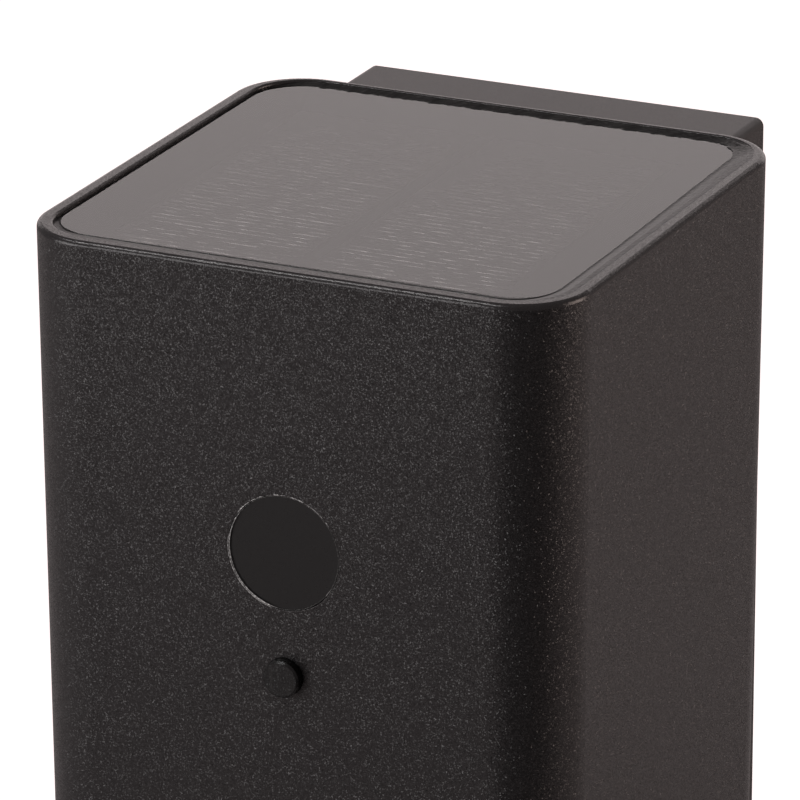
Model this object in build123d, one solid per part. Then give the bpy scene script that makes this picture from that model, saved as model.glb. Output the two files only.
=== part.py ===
"""Solar wall and fence light: a black cast box with a solar panel in its top, a motion sensor
window and a push button in its front, a light under an opal diffuser in its base, and a wall
canopy behind it that hooks on a steel strap.

Frame, in millimetres: the origin is on the wall, at the middle of the strap's back face. +Z is up,
the wall is the plane y = 0, and the light stands out from it towards -Y. X is centred.
"""
from build123d import *
import math
import os

# ---- driving dimensions -------------------------------------------------------------------
WIDTH = 100.0             # housing across the rim, side to side
DEPTH = 98.6              # housing across the rim, back to front
HEIGHT = 180.0            # housing, bottom to top
DRAFT = 0.5               # degrees that the front and sides draw in; the back is upright
CORNER_R = 12.6           # upright corners
WALL = 2.8                # cast wall at the foot; the cavity is upright, so it thickens upwards
RIM = 2.8                 # rim round the top pocket, at the front and the sides
RIM_BACK = 1.7            # the same rim at the back
EDGE_R = 0.9              # soft cast edge outside the rim
POCKET_EDGE_R = 0.5       # and inside it
FOOT_CHAMFER = 0.6
POCKET_DEPTH = 3.8        # rim to the pocket floor
POCKET_FLOOR = 2.5        # cast roof under the panel

CANOPY_WIDTH = 76.5       # wall canopy behind the housing
CANOPY_HEIGHT = 174.9
CANOPY_DEPTH = 18.0
CANOPY_WALL = 2.5
CANOPY_CORNER_R = 1.5

SENSOR_DROP = 49.6        # rim down to the sensor window's centre
SENSOR_R = 10.1
BUTTON_DROP = 71.75       # rim down to the button's centre
BUTTON_R = 3.27
BUTTON_PROUD = 2.0
BUTTON_TRAVEL = 0.8

# ---- stations worked out from them --------------------------------------------------------
TOP = HEIGHT / 2
BOTTOM = -HEIGHT / 2
DRAWN_IN = HEIGHT * math.tan(math.radians(DRAFT))     # what each drafted face loses by the foot
BACK_Y = -CANOPY_DEPTH
RIM_FRONT_Y = BACK_Y - DEPTH
RIM_MID_Y = (BACK_Y + RIM_FRONT_Y) / 2
FOOT_WIDTH = WIDTH - 2 * DRAWN_IN
FOOT_DEPTH = DEPTH - DRAWN_IN
MID_Y = BACK_Y - FOOT_DEPTH / 2                       # middle of the foot, and of all inside it
FRONT_IN = MID_Y - FOOT_DEPTH / 2 + WALL
BACK_IN = BACK_Y - WALL
SIDE_IN = FOOT_WIDTH / 2 - WALL
POCKET = (WIDTH - 2 * RIM, DEPTH - RIM - RIM_BACK)
POCKET_R = CORNER_R - RIM
POCKET_MID_Y = BACK_Y - RIM_BACK - POCKET[1] / 2
POCKET_Z = TOP - POCKET_DEPTH
CAVITY_TOP = POCKET_Z - POCKET_FLOOR
SENSOR_Z = TOP - SENSOR_DROP
BUTTON_Z = TOP - BUTTON_DROP


def front_at(z):
    """Depth of the drafted front at a height."""
    return RIM_FRONT_Y + (TOP - z) * math.tan(math.radians(DRAFT))


# control board, held square to the front wall on four cast posts
POST_LONG = 11.0
BOARD_FRONT = FRONT_IN + POST_LONG
BOARD_THICK = 1.6
BOARD_BACK = BOARD_FRONT + BOARD_THICK
BOARD_SIZE = (62.0, 72.0)
BOARD_R = 2.0
BOARD_Z = 25.0
BOARD_HOLE = (27.0, 32.0)             # off the board's middle
BOARD_HOLES = [(sx * BOARD_HOLE[0], BOARD_Z + sz * BOARD_HOLE[1]) for sx in (-1, 1) for sz in (-1, 1)]

# bottom cover: bezel in the mouth's rebate, screwed to four corner bosses
REBATE = 1.5              # width of the ledge
BEZEL_RECESS = 1.0
BEZEL_THICK = 3.0
GASKET_THICK = 1.0
BEZEL_LOW = BOTTOM + BEZEL_RECESS
BEZEL_TOP = BEZEL_LOW + BEZEL_THICK
LEDGE_Z = BEZEL_TOP + GASKET_THICK
CORNER_BOSS_LONG = 30.0
BOSS_TOP = BEZEL_TOP + CORNER_BOSS_LONG
BEZEL_GAP = 0.2
ROOT = 0.3                # how far bosses and ribs run into the wall that carries them
WINDOW = (66.0, 64.0)
WINDOW_R = 5.0
CORNER_SETBACK = 8.8      # foot's faces to the corner screws
CORNERS = [
    (sx * (FOOT_WIDTH / 2 - CORNER_SETBACK), MID_Y + sy * (FOOT_DEPTH / 2 - CORNER_SETBACK))
    for sx in (-1, 1)
    for sy in (-1, 1)
]

# light unit on the bezel
SEAL_THICK = 0.6
DIFFUSER = (72.0, 70.0)
DIFFUSER_R = 6.0
DIFFUSER_THICK = 2.4
DIFFUSER_LOW = BEZEL_TOP + SEAL_THICK
RIM_LOW = DIFFUSER_LOW + DIFFUSER_THICK
RIM_THICK = 2.0
HOOD_HEIGHT = 20.0
HOOD_TOP = RIM_LOW + HOOD_HEIGHT
HOOD_WALL = 1.6
HOOD_MOUTH = (68.0, 66.0)
HOOD_THROAT = (34.8, 32.8)
LED_BOARD = (44.0, 40.0)
LED_BOARD_THICK = 1.6
LED_BOARD_R = 2.0
LED_SCREW_X = 19.7
HOOD_POST = (39.0, 18.0)              # off the middle
POSTS = [(sx * HOOD_POST[0], MID_Y + sy * HOOD_POST[1]) for sx in (-1, 1) for sy in (-1, 1)]

# battery pack on two bosses of the back wall
CELL_R = 9.2
CELL_X = 9.6
CELL_LOW = -35.0
CELL_CAN = 64.5
CELL_NUB = 1.0
CRADLE_BOSS_LONG = 4.0
CRADLE_BACK = BACK_IN - CRADLE_BOSS_LONG
CRADLE_WALL = 2.0
CELL_Y = CRADLE_BACK - CRADLE_WALL - CELL_R
CRADLE_ENDS = (-39.5, 34.5)
CRADLE_SCREWS = (-43.5, 38.5)
BRIDGE = (28.2, 8.0)

# wall canopy and strap
CANOPY_IN = BACK_Y + CANOPY_WALL
CANOPY_HOLE = (24.0, 60.0)            # off the middle
CANOPY_SCREWS = [(sx * CANOPY_HOLE[0], sz * CANOPY_HOLE[1]) for sx in (-1, 1) for sz in (-1, 1)]
STRAP_WIDTH = 30.0
STRAP_THICK = 2.0
STRAP_HALF = 81.0
SLOT_Z = 60.0
SLOT = (10.0, 4.5)
LUG_Y = -7.0
LUG_TIP_Y = -12.0
HOOK_TIP_Y = LUG_TIP_Y - STRAP_THICK
HOOK_RISE = 3.0
BEND_R = 2.5              # outside and inside of each bend
BEND_INNER_R = 0.5

os.makedirs("parts", exist_ok=True)


# ---- shared shapes ------------------------------------------------------------------------
def save(name, *solids):
    """Writes one node, which may be a group of like solids."""
    shape = solids[0] if len(solids) == 1 else Compound(children=list(solids))
    export_step(shape, f"parts/{name}.step")


def plate(size, radius, low, high, x=0.0, y=MID_Y):
    """A level plate with rounded corners, between two heights."""
    return extrude(Pos(x, y, low) * RectangleRounded(*size, radius), amount=high - low)


def facing(y):
    """A sketch plane at depth y, seen from the front: its x is X and its y is Z."""
    return Plane(origin=(0, y, 0), x_dir=(1, 0, 0), z_dir=(0, -1, 0))


def forward(sketch, back, front):
    """Extrudes a sketch seen from the front, from one depth to another nearer the front."""
    return extrude(facing(back) * sketch, amount=back - front)


def rod_y(radius, x, z, back, front):
    """A round rod along Y."""
    return forward(Pos(x, z) * Circle(radius), back, front)


def rod_z(radius, x, y, low, high):
    """A round rod along Z."""
    return extrude(Pos(x, y, low) * Circle(radius), amount=high - low)


def turned(profile, x, z):
    """A turned piece whose axis runs along Y. The profile's points are (radius, depth)."""
    plane = Plane(origin=(x, 0, z), x_dir=(1, 0, 0), z_dir=(0, 0, 1))
    face = plane * make_face(Polyline(*profile, close=True))
    return revolve(face, Axis((x, 0, z), (0, 1, 0)))


def foot_outline(inset):
    """Size and corner radius of the housing's outline at the foot, drawn in by an inset."""
    return (FOOT_WIDTH - 2 * inset, FOOT_DEPTH - 2 * inset), CORNER_R - inset


RUN_SHARE = 0.45          # how much of its shorter run a lead's bend may take


def lead(radius, *route):
    """A two-core lead held between its ends, with bends as large as its runs allow."""
    points = [Vector(*p) for p in route]
    runs = [b - a for a, b in zip(points, points[1:])]
    radii = []
    for first, second in zip(runs, runs[1:]):
        half_turn = math.radians(first.get_angle(second) / 2)
        radii.append(RUN_SHARE * min(first.length, second.length) / math.tan(half_turn))
    path = FilletPolyline(*points, radius=radii)
    section = Plane(origin=points[0], z_dir=runs[0]) * Circle(radius)
    return sweep(section, path=path)


# ---- housing ------------------------------------------------------------------------------
def cast_shell():
    """The cast box: drafted faces, panel pocket in the top, cavity and rebated mouth below."""
    foot_size, foot_r = foot_outline(0)
    rim = Pos(0, RIM_MID_Y, TOP) * RectangleRounded(WIDTH, DEPTH, CORNER_R)
    foot = Pos(0, MID_Y, BOTTOM) * RectangleRounded(*foot_size, foot_r)
    shell = loft([foot, rim], ruled=True)
    shell -= plate(POCKET, POCKET_R, POCKET_Z, TOP, y=POCKET_MID_Y)
    shell = chamfer(shell.faces().sort_by(Axis.Z)[0].edges(), FOOT_CHAMFER)
    shell = fillet(shell.faces().sort_by(Axis.Z)[-1].inner_wires()[0].edges(), POCKET_EDGE_R)
    shell = fillet(shell.faces().sort_by(Axis.Z)[-1].outer_wire().edges(), EDGE_R)
    cavity, cavity_r = foot_outline(WALL)
    shell -= plate(cavity, cavity_r, BOTTOM, CAVITY_TOP)
    mouth, mouth_r = foot_outline(WALL - REBATE)
    return shell - plate(mouth, mouth_r, BOTTOM, LEDGE_Z)


CORNER_BOSS_R = 4.5
CORNER_WEB = 10.0         # how far the boss's web reaches out to the walls, before it is trimmed
CANOPY_BOSS_R = 4.5
CANOPY_BOSS_LONG = 10.0
CRADLE_BOSS_R = 4.0
POST_R = 3.2
RIB = (3.0, 2.0)          # how far a side rib stands in, and its thickness
RIB_SHIFT = 20.0
TAPPED_R = 1.5            # holes for the self-tapping screws, and their depths
CANOPY_TAPPED_R = 2.0
CORNER_TAPPED = 12.0
POST_TAPPED = 9.0
CANOPY_TAPPED = 11.0
CRADLE_TAPPED = 3.5
GROMMET_R = 4.0


def corner_boss(x, y):
    """A screw boss that grows out of the cavity's rounded corner."""
    cavity, cavity_r = foot_outline(WALL - ROOT)
    wide = 2 * CORNER_BOSS_R
    out_x = math.copysign(CORNER_WEB / 2, x)
    out_y = math.copysign(CORNER_WEB / 2, y - MID_Y)
    web = Pos(x + out_x, y + out_y) * Rectangle(CORNER_WEB, CORNER_WEB)
    flank_x = Pos(x + out_x, y) * Rectangle(CORNER_WEB, wide)
    flank_y = Pos(x, y + out_y) * Rectangle(wide, CORNER_WEB)
    outline = Pos(x, y) * Circle(CORNER_BOSS_R) + web + flank_x + flank_y
    outline &= Pos(0, MID_Y) * RectangleRounded(*cavity, cavity_r)
    return extrude(Pos(0, 0, BEZEL_TOP) * outline, amount=BOSS_TOP - BEZEL_TOP)


def housing():
    """The whole casting, with its bosses, posts, ribs and bored openings."""
    body = cast_shell()
    for x, y in CORNERS:
        body += corner_boss(x, y)
    for x, z in BOARD_HOLES:
        body += rod_y(POST_R, x, z, BOARD_FRONT, FRONT_IN - ROOT)
    for x, z in CANOPY_SCREWS:
        body += rod_y(CANOPY_BOSS_R, x, z, BACK_IN + ROOT, BACK_IN - CANOPY_BOSS_LONG)
    for z in CRADLE_SCREWS:
        body += rod_y(CRADLE_BOSS_R, 0, z, BACK_IN + ROOT, CRADLE_BACK)
    rib = Rectangle(RIB[0] + ROOT, RIB[1], align=(Align.MIN, Align.CENTER))
    for side in (0, 180):
        for y in (-RIB_SHIFT, RIB_SHIFT):
            foot = Pos(0, MID_Y, BOSS_TOP) * Rot(0, 0, side) * Pos(SIDE_IN - RIB[0], y)
            body += extrude(foot * rib, amount=CAVITY_TOP - BOSS_TOP)
    body -= rod_y(SENSOR_R + SENSOR_GAP, 0, SENSOR_Z, FRONT_IN, RIM_FRONT_Y)
    body -= rod_y(BUTTON_R + BUTTON_GAP, 0, BUTTON_Z, FRONT_IN, RIM_FRONT_Y)
    body -= rod_z(GROMMET_R, *GROMMET, CAVITY_TOP, POCKET_Z)
    for x, y in CORNERS:
        body -= rod_z(TAPPED_R, x, y, BEZEL_TOP, BEZEL_TOP + CORNER_TAPPED)
    for x, z in BOARD_HOLES:
        body -= rod_y(TAPPED_R, x, z, BOARD_FRONT, BOARD_FRONT - POST_TAPPED)
    for x, z in CANOPY_SCREWS:
        body -= rod_y(CANOPY_TAPPED_R, x, z, BACK_Y, BACK_Y - CANOPY_TAPPED)
    for z in CRADLE_SCREWS:
        body -= rod_y(TAPPED_R, 0, z, CRADLE_BACK + CRADLE_TAPPED, CRADLE_BACK)
    return body


# ---- solar panel --------------------------------------------------------------------------
GROMMET = (14.0, MID_Y)
PANEL_SIZE = (91.0, 90.0)
PANEL_R = 8.2
PANEL_SHIFT = (-1.05, 0.6)            # the panel lies off the pocket's middle, to the left and back
PANEL_PLACE = (PANEL_SHIFT[0], POCKET_MID_Y + PANEL_SHIFT[1])
BACKING_THICK = 1.6
CELL_THICK = 0.2
COVER_THICK = 1.55
CELL_LOW_Z = POCKET_Z + BACKING_THICK
PANEL_TOP = CELL_LOW_Z + COVER_THICK
CELL_SHEET = (34.5, 72.0)
CELL_CENTRES = (-18.5, 19.0)
CELL_MIDDLE_Y = POCKET_MID_Y - 3.5
SEALANT_SUNK = 0.25


def cell_sheets(thick):
    """The two solar cells, side by side under the cover."""
    sheets = []
    for x in CELL_CENTRES:
        outline = Pos(x, CELL_MIDDLE_Y, CELL_LOW_Z) * Rectangle(*CELL_SHEET)
        sheets.append(extrude(outline, amount=thick))
    return sheets


def solar_panel():
    """Backing sheet, the two cells, the clear cover moulded over them, and the sealant."""
    backing = plate(PANEL_SIZE, PANEL_R, POCKET_Z, CELL_LOW_Z, *PANEL_PLACE)
    cells = cell_sheets(CELL_THICK)
    cover = plate(PANEL_SIZE, PANEL_R, CELL_LOW_Z, PANEL_TOP, *PANEL_PLACE)
    for cell in cells:
        cover -= cell
    bead = plate(POCKET, POCKET_R, POCKET_Z, PANEL_TOP - SEALANT_SUNK, y=POCKET_MID_Y)
    bead -= plate(PANEL_SIZE, PANEL_R, POCKET_Z, TOP, *PANEL_PLACE)
    save("solar_panel", backing)
    save("solar_cells", *cells)
    save("panel_cover", cover)
    save("panel_sealant", bead)


LIP_R = 5.6
LIP_THICK = 1.6
LEAD_R = 1.2
GROMMET_BORE_R = 1.4


def lead_grommet():
    """Rubber grommet snapped in the roof's hole, with a lip below, round the panel lead."""
    x, y = GROMMET
    neck = rod_z(GROMMET_R, x, y, CAVITY_TOP, POCKET_Z)
    lip = rod_z(LIP_R, x, y, CAVITY_TOP - LIP_THICK, CAVITY_TOP)
    lip = chamfer(lip.edges().sort_by(Axis.Z)[0], LIP_THICK / 2)
    return neck + lip - rod_z(GROMMET_BORE_R, x, y, CAVITY_TOP - LIP_THICK, POCKET_Z)


# ---- front: sensor and button -------------------------------------------------------------
SENSOR_RECESS = 0.3
SENSOR_GAP = 0.2
WASHER_THICK = 0.8
FLANGE_R = 13.0
FLANGE_THICK = 1.2
SHROUD_R = 8.6
SHROUD_WALL = 1.6
CAN_BASE = (5.0, 0.6)     # radius and thickness
CAN_R = 4.6
CAN_HEIGHT = 4.6
CAN_WINDOW = (4.8, 3.8)
CAN_WINDOW_SUNK = 0.3


def sensor_group():
    """Window with a flange behind the wall, its gasket, the shroud and the sensor can."""
    seat = FRONT_IN + WASHER_THICK
    back = seat + FLANGE_THICK
    face = front_at(SENSOR_Z) + SENSOR_RECESS
    window = turned(
        [
            (0, face),
            (SENSOR_R, face),
            (SENSOR_R, seat),
            (FLANGE_R, seat),
            (FLANGE_R, back),
            (0, back),
        ],
        0,
        SENSOR_Z,
    )
    gasket = turned(
        [
            (SENSOR_R + SENSOR_GAP, FRONT_IN),
            (FLANGE_R, FRONT_IN),
            (FLANGE_R, seat),
            (SENSOR_R + SENSOR_GAP, seat),
        ],
        0,
        SENSOR_Z,
    )
    shroud = turned(
        [
            (SHROUD_R - SHROUD_WALL, BOARD_FRONT),
            (SHROUD_R, BOARD_FRONT),
            (SHROUD_R, back + SHROUD_WALL),
            (FLANGE_R, back + SHROUD_WALL),
            (FLANGE_R, back),
            (SHROUD_R - SHROUD_WALL, back),
        ],
        0,
        SENSOR_Z,
    )
    base_r, base_thick = CAN_BASE
    can_face = BOARD_FRONT - CAN_HEIGHT
    can = rod_y(base_r, 0, SENSOR_Z, BOARD_FRONT, BOARD_FRONT - base_thick)
    can += rod_y(CAN_R, 0, SENSOR_Z, BOARD_FRONT - base_thick, can_face)
    can -= forward(Pos(0, SENSOR_Z) * Rectangle(*CAN_WINDOW), can_face + CAN_WINDOW_SUNK, can_face)
    save("sensor_window", window)
    save("sensor_gasket", gasket)
    save("sensor_shroud", shroud)
    save("pir_sensor", can)


SWITCH_HEIGHT = 3.5
SWITCH_SIZE = 7.0
SWITCH_R = 0.6
PLUNGER_R = 1.7
PLUNGER_PROUD = 2.0
PLUNGER_LONG = 3.2
PLUNGER_TIP = BOARD_FRONT - SWITCH_HEIGHT - PLUNGER_PROUD
PLUNGER_BACK = PLUNGER_TIP + PLUNGER_LONG
SLIDE_GAP = 0.1           # round the plunger, and round the stem in the seal's collar
WELL_SPARE = 0.2          # well left below the plunger when it is pressed
BUTTON_GAP = 0.1
BUTTON_EDGE = 0.35
BUTTON_FLANGE_R = 4.5
BUTTON_FLANGE_Y = FRONT_IN + 0.05
BUTTON_FLANGE_THICK = 1.0
STEM_R = 1.5
SEAL_RING = (5.3, 7.5)    # inner and outer radius
SEAL_WEB = 0.6
SEAL_GAP = 0.15
COLLAR_R = 2.6
COLLAR_LONG = 2.2


def mode_button():
    """Round cap that stands proud of the wall, the flange that keeps it in, and its stem."""
    flange_back = BUTTON_FLANGE_Y + BUTTON_FLANGE_THICK
    face = front_at(BUTTON_Z) - BUTTON_PROUD
    cap = turned(
        [
            (0, face),
            (BUTTON_R, face),
            (BUTTON_R, BUTTON_FLANGE_Y),
            (BUTTON_FLANGE_R, BUTTON_FLANGE_Y),
            (BUTTON_FLANGE_R, flange_back),
            (STEM_R, flange_back),
            (STEM_R, PLUNGER_TIP),
            (0, PLUNGER_TIP),
        ],
        0,
        BUTTON_Z,
    )
    front_edge = cap.edges().filter_by(GeomType.CIRCLE).sort_by(Axis.Y)[0]
    return chamfer(front_edge, BUTTON_EDGE)


def button_seal():
    """Silicone diaphragm: a thick ring on the wall, a thin web, and a collar on the stem."""
    web = BUTTON_FLANGE_Y + BUTTON_FLANGE_THICK + SEAL_GAP
    inner, outer = SEAL_RING
    return turned(
        [
            (inner, FRONT_IN),
            (outer, FRONT_IN),
            (outer, web + SEAL_WEB),
            (COLLAR_R, web + SEAL_WEB),
            (COLLAR_R, web + COLLAR_LONG),
            (STEM_R + SLIDE_GAP, web + COLLAR_LONG),
            (STEM_R + SLIDE_GAP, web),
            (inner, web),
        ],
        0,
        BUTTON_Z,
    )


def tact_switch():
    """Switch can on the board, with the well that its plunger slides in."""
    outline = Pos(0, BUTTON_Z) * RectangleRounded(SWITCH_SIZE, SWITCH_SIZE, SWITCH_R)
    can = forward(outline, BOARD_FRONT, BOARD_FRONT - SWITCH_HEIGHT)
    well_floor = PLUNGER_BACK + BUTTON_TRAVEL + WELL_SPARE
    return can - rod_y(PLUNGER_R + SLIDE_GAP, 0, BUTTON_Z, well_floor, BOARD_FRONT - SWITCH_HEIGHT)


# ---- control board ------------------------------------------------------------------------
SOCKETS = {"panel": (14.0, 50.0), "battery": (0.0, 47.0), "led": (14.0, -2.0)}
SOCKET_SIZE = (8.4, 6.2)
SOCKET_DEEP = 6.5
SOCKET_FLOOR = 1.2
LATCH_SLOT = (2.4, 3.0)
LATCH_SLOT_FLOOR = 3.0
PLUG_SIZE = (6.4, 4.2)
PLUG_PLAY = 0.3
PLUG_BACK = BOARD_BACK + SOCKET_DEEP + 2.0
LATCH = (1.8, 0.6)
LATCH_FLOOR = 4.0
CLEAR_R = 1.7             # clearance hole for the middling screws


def control_board():
    """Circuit board with its four screw holes."""
    outline = Pos(0, BOARD_Z) * RectangleRounded(*BOARD_SIZE, BOARD_R)
    board = forward(outline, BOARD_BACK, BOARD_FRONT)
    for x, z in BOARD_HOLES:
        board -= rod_y(CLEAR_R, x, z, BOARD_BACK, BOARD_FRONT)
    return board


CHIP_PLACE = (-10.0, 12.0)
CHIP_SIZE = (3.9, 4.9)
CHIP_LEVELS = (0.2, 1.7)              # its underside and top, off the board
PIN = (1.4, 0.45)
PIN_THICK = 0.6
PIN_REACH = 2.4
PIN_PITCH = 1.27
PINS_A_SIDE = 4


def charge_chip():
    """Eight-pin charge controller, with its gull-wing pins."""
    x, z = CHIP_PLACE
    low, high = CHIP_LEVELS
    chip = forward(Pos(x, z) * Rectangle(*CHIP_SIZE), BOARD_BACK + high, BOARD_BACK + low)
    pin = forward(Rectangle(*PIN), BOARD_BACK + PIN_THICK, BOARD_BACK)
    for side in (-1, 1):
        for row in range(PINS_A_SIDE):
            along = (row - (PINS_A_SIDE - 1) / 2) * PIN_PITCH
            chip += Pos(x + side * PIN_REACH, 0, z + along) * pin
    return chip


COIL_PLACE = (6.0, 12.0)
COIL_BASE = (8.0, 8.0, 1.0)           # width, height and corner radius
COIL_BASE_THICK = 0.6
COIL_BODY = (7.0, 7.0, 2.0)
COIL_TOP = 4.2


def inductor():
    """Shielded power inductor: a square ferrite body on a thin base."""
    base_back = BOARD_BACK + COIL_BASE_THICK
    base = forward(Pos(*COIL_PLACE) * RectangleRounded(*COIL_BASE), base_back, BOARD_BACK)
    return base + forward(Pos(*COIL_PLACE) * RectangleRounded(*COIL_BODY), BOARD_BACK + COIL_TOP, base_back)


JAR_PLACE = (-2.0, -2.0)
JAR_BASE = (7.0, 7.0, 0.8)            # width, height and corner radius
JAR_BASE_THICK = 0.8
JAR_R = 3.15
JAR_TOP = 8.0
CRIMP = (1.8, 2.2, 2.6)               # start, bottom and end of the groove, off the board
CRIMP_R = 2.8


def capacitor():
    """Electrolytic can on its plastic base, with a crimp groove round it."""
    low = BOARD_BACK + JAR_BASE_THICK
    foot = forward(Pos(*JAR_PLACE) * RectangleRounded(*JAR_BASE), low, BOARD_BACK)
    can = turned(
        [
            (0, low),
            (JAR_R, low),
            (JAR_R, BOARD_BACK + CRIMP[0]),
            (CRIMP_R, BOARD_BACK + CRIMP[1]),
            (JAR_R, BOARD_BACK + CRIMP[2]),
            (JAR_R, BOARD_BACK + JAR_TOP),
            (0, BOARD_BACK + JAR_TOP),
        ],
        *JAR_PLACE,
    )
    return foot + can


def lead_socket(x, z):
    """Board socket, open to the back, with a slot for the plug's latch."""
    shell = forward(Pos(x, z) * Rectangle(*SOCKET_SIZE), BOARD_BACK + SOCKET_DEEP, BOARD_BACK)
    well = Pos(x, z) * Rectangle(PLUG_SIZE[0] + PLUG_PLAY, PLUG_SIZE[1] + PLUG_PLAY)
    shell -= forward(well, BOARD_BACK + SOCKET_DEEP, BOARD_BACK + SOCKET_FLOOR)
    slot = Pos(x, z + SOCKET_SIZE[1] / 2) * Rectangle(*LATCH_SLOT)
    return shell - forward(slot, BOARD_BACK + SOCKET_DEEP, BOARD_BACK + LATCH_SLOT_FLOOR)


def lead_plug(x, z):
    """Crimp housing seated in its socket, with the latch on top."""
    plug = forward(Pos(x, z) * Rectangle(*PLUG_SIZE), PLUG_BACK, BOARD_BACK + SOCKET_FLOOR)
    latch = Pos(x, z + PLUG_SIZE[1] / 2 + LATCH[1] / 2) * Rectangle(*LATCH)
    return plug + forward(latch, PLUG_BACK, BOARD_BACK + LATCH_FLOOR)


# ---- screws: head radius, head thickness, shank radius, radius of the six-sided drive --------
SMALL_SCREW = (2.8, 1.8, 1.4, 1.4)
CANOPY_SCREW = (3.5, 2.6, 1.9, 1.9)
LOCK_SCREW = (3.5, 2.3, 1.9, 1.9)
BEZEL_SCREW = (2.9, 1.5, 1.4, 1.5)
HOOD_SCREW = (2.3, 1.6, 1.0, 1.2)
LED_SCREW = (1.9, 1.2, 0.85, 1.0)
BOARD_SCREW_LONG = 9.0
CANOPY_SCREW_LONG = 11.0
LOCK_SCREW_LONG = 10.5
BEZEL_SCREW_LONG = 11.0
HOOD_SCREW_LONG = 6.6
LED_SCREW_LONG = 4.0


def screw_y(kind, length, x, z, seat):
    """Pan-head screw driven towards the front, its head behind the seat."""
    head_r, head_thick, shank_r, drive_r = kind
    screw = rod_y(head_r, x, z, seat + head_thick, seat)
    screw += rod_y(shank_r, x, z, seat, seat - length)
    drive = facing(seat + head_thick) * Pos(x, z) * RegularPolygon(drive_r, 6)
    return screw - extrude(drive, amount=head_thick / 2)


def screw_z(kind, length, x, y, seat, up):
    """Pan-head screw along Z, driven up or down into its seat."""
    head_r, head_thick, shank_r, drive_r = kind
    sense = 1 if up else -1
    screw = rod_z(head_r, x, y, seat - sense * head_thick, seat)
    screw += rod_z(shank_r, x, y, seat, seat + sense * length)
    drive = Pos(x, y, seat - sense * head_thick) * RegularPolygon(drive_r, 6)
    return screw - extrude(drive, amount=sense * head_thick / 2)


# ---- battery ------------------------------------------------------------------------------
CELL_EDGE = 0.5
CELL_GROOVE = (3.6, 3.0, 2.4)         # start, bottom and end of the groove, below the can's top
CELL_SHOULDER = 0.6
NUB_R = 3.2


def battery_cell(x):
    """A lithium cell: a plain can, a groove under the shoulder, and the raised positive end."""
    top = CELL_LOW + CELL_CAN
    profile = Polyline(
        (0, CELL_LOW),
        (CELL_R - CELL_EDGE, CELL_LOW),
        (CELL_R, CELL_LOW + CELL_EDGE),
        (CELL_R, top - CELL_GROOVE[0]),
        (CELL_R - CELL_EDGE, top - CELL_GROOVE[1]),
        (CELL_R, top - CELL_GROOVE[2]),
        (CELL_R, top - CELL_SHOULDER),
        (CELL_R - CELL_SHOULDER, top),
        (NUB_R, top),
        (NUB_R, top + CELL_NUB),
        (0, top + CELL_NUB),
        close=True,
    )
    plane = Plane(origin=(x, CELL_Y, 0), x_dir=(1, 0, 0), z_dir=(0, -1, 0))
    return revolve(plane * make_face(profile), Axis((x, CELL_Y, 0), (0, 0, 1)))


TROUGH = (42.0, 12.0)
END_WALL = (42.0, 15.0)
CELL_PLAY = 0.2
EAR = (14.0, 24.0, 5.0)               # width, height and corner radius
EAR_SHIFT = 6.0
CRADLE_SCREW_LONG = 5.0
CONTACT_THICK = 0.5
CONTACT_R = 1.0
BRIDGE_PLAY = 0.5
CONTACT_PAD = (9.0, 8.0)
CONE = (3.6, 1.8)                     # radius at its foot and tip
DIMPLE_R = 1.8


def battery_cradle():
    """Moulded trough for the two cells, with end walls and a screw ear at each end."""
    low, high = CRADLE_ENDS
    inner_top = high - CRADLE_WALL
    trough = Pos(0, CRADLE_BACK - TROUGH[1] / 2) * Rectangle(*TROUGH)
    for x in (-CELL_X, CELL_X):
        trough -= Pos(x, CELL_Y) * Circle(CELL_R + CELL_PLAY)
    cradle = extrude(Pos(0, 0, low) * trough, amount=high - low)
    for z in (low, inner_top):
        cradle += plate(END_WALL, CONTACT_R, z, z + CRADLE_WALL, y=CRADLE_BACK - END_WALL[1] / 2)
    ear = forward(RectangleRounded(*EAR), CRADLE_BACK, CRADLE_BACK - CRADLE_WALL)
    for z in CRADLE_SCREWS:
        cradle += Pos(0, 0, z - math.copysign(EAR_SHIFT, z)) * ear
    for x in (-CELL_X, CELL_X):
        cradle -= rod_z(CELL_R + CELL_PLAY, x, CELL_Y, low + CRADLE_WALL, inner_top)
    bed = tuple(side + 2 * BRIDGE_PLAY for side in BRIDGE)
    cradle -= plate(bed, CONTACT_R, inner_top - CONTACT_THICK, inner_top, y=CELL_Y)
    for z in CRADLE_SCREWS:
        cradle -= rod_y(CLEAR_R, 0, z, CRADLE_BACK, CRADLE_BACK - CRADLE_WALL)
    return cradle


def cradle_screw(z):
    """Pan-head screw through a cradle ear into its boss, driven towards the back."""
    head_r, head_thick, shank_r, drive_r = SMALL_SCREW
    seat = CRADLE_BACK - CRADLE_WALL
    screw = rod_y(head_r, 0, z, seat, seat - head_thick)
    screw += rod_y(shank_r, 0, z, seat + CRADLE_SCREW_LONG, seat)
    drive = Pos(0, z) * RegularPolygon(drive_r, 6)
    return screw - forward(drive, seat - head_thick / 2, seat - head_thick)


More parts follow.
